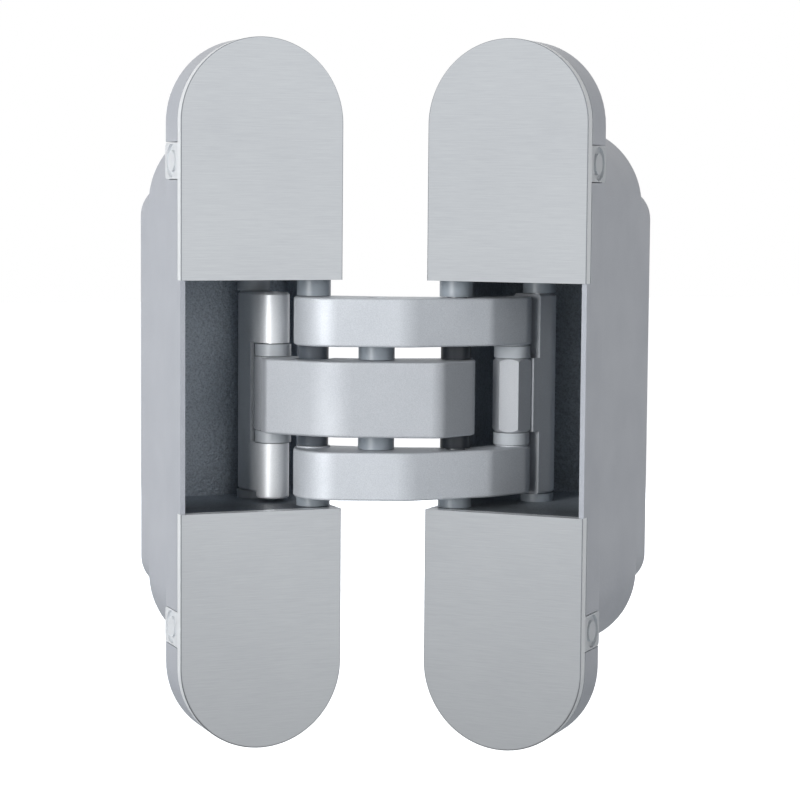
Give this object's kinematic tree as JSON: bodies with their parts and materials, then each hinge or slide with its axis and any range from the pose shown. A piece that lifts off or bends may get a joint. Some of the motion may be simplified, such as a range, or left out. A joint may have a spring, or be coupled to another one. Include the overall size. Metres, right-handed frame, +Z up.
{
  "type": "concealed invisible door hinge",
  "caption": "Concealed door hinge: two round-ended mortise halves with flat covers, joined by crossing cast arms and short links on vertical pins that fold into both halves.",
  "frame": {"origin": "centre of the frame half's four screw holes, halfway through its flange", "axes": "+Z up along the pins; -Y out of the frame half's front, towards the user; +X towards the door half, whose front is turned 45 degrees from the frame half's at rest"},
  "size_m": [0.0852, 0.051, 0.118],
  "materials": {
    "housing_casting": "silver paint on a fine-grained zinc casting",
    "cover_aluminium": "finely brushed, satin",
    "clip_plastic": "pale grey, smooth",
    "bush_plastic": "grey, smooth",
    "spacer_plastic": "grey, smooth",
    "pin_steel": "ground",
    "link_casting": "silver paint, satin",
    "arm_casting": "silver paint on a fine-grained zinc casting"
  },
  "bodies": {
    "frame_half": {"frame_cover_clip_lower": "clip_plastic", "frame_cover_clip_upper": "clip_plastic", "frame_cover_lower": "cover_aluminium", "frame_cover_upper": "cover_aluminium", "frame_front_bushes": "bush_plastic", "frame_front_pin": "pin_steel", "frame_housing": "housing_casting", "frame_pin_sleeve": "spacer_plastic", "frame_rear_bushes": "bush_plastic", "frame_rear_pin": "pin_steel"},
    "outer_arms": {"crossing_pin": "pin_steel", "crossing_spacers": "spacer_plastic", "door_link_pin": "pin_steel", "door_link_washers": "spacer_plastic", "outer_arm_lower": "arm_casting", "outer_arm_upper": "arm_casting"},
    "centre_arm": {"centre_arm": "arm_casting", "frame_link_pin": "pin_steel", "frame_link_washers": "spacer_plastic"},
    "door_half": {"door_cover_clip_lower": "clip_plastic", "door_cover_clip_upper": "clip_plastic", "door_cover_lower": "cover_aluminium", "door_cover_upper": "cover_aluminium", "door_front_bushes": "bush_plastic", "door_front_pin": "pin_steel", "door_housing": "housing_casting", "door_pin_collars": "spacer_plastic", "door_rear_bushes": "bush_plastic", "door_rear_pin": "pin_steel"},
    "frame_link": {"frame_link": "link_casting"},
    "door_link": {"door_link": "link_casting"}
  },
  "joints": [
    {"name": "frame_pivot", "type": "hinge", "parent": "frame_half", "child": "outer_arms", "pos_m": [0.01105, 0.00013, 0], "axis": [0, 0, 1], "range_deg": [-82, 27.3]},
    {"name": "crossing_pivot", "type": "hinge", "parent": "outer_arms", "child": "centre_arm", "pos_m": [0.01978, -0.00682, 0], "axis": [0, 0, 1], "range_deg": [-8.2, 24.5]},
    {"name": "door_pivot", "type": "hinge", "parent": "centre_arm", "child": "door_half", "pos_m": [0.03326, -0.00908, 0], "axis": [0, 0, 1], "range_deg": [-77.5, 25.9]},
    {"name": "frame_link_pivot", "type": "hinge", "parent": "centre_arm", "child": "frame_link", "pos_m": [0.00624, 0.00734, 0], "axis": [0, 0, 1], "range_deg": [-32.2, 96.6]},
    {"name": "door_link_pivot", "type": "hinge", "parent": "outer_arms", "child": "door_link", "pos_m": [0.04404, -0.00827, 0], "axis": [0, 0, 1], "range_deg": [-96.4, 32.2]}
  ],
  "couplings": [
    {"joint": "crossing_pivot", "follows": "frame_pivot", "ratio": -0.2981},
    {"joint": "door_pivot", "follows": "frame_pivot", "ratio": 0.9442},
    {"joint": "frame_link_pivot", "follows": "frame_pivot", "ratio": -1.1764},
    {"joint": "door_link_pivot", "follows": "frame_pivot", "ratio": 1.1742}
  ]
}
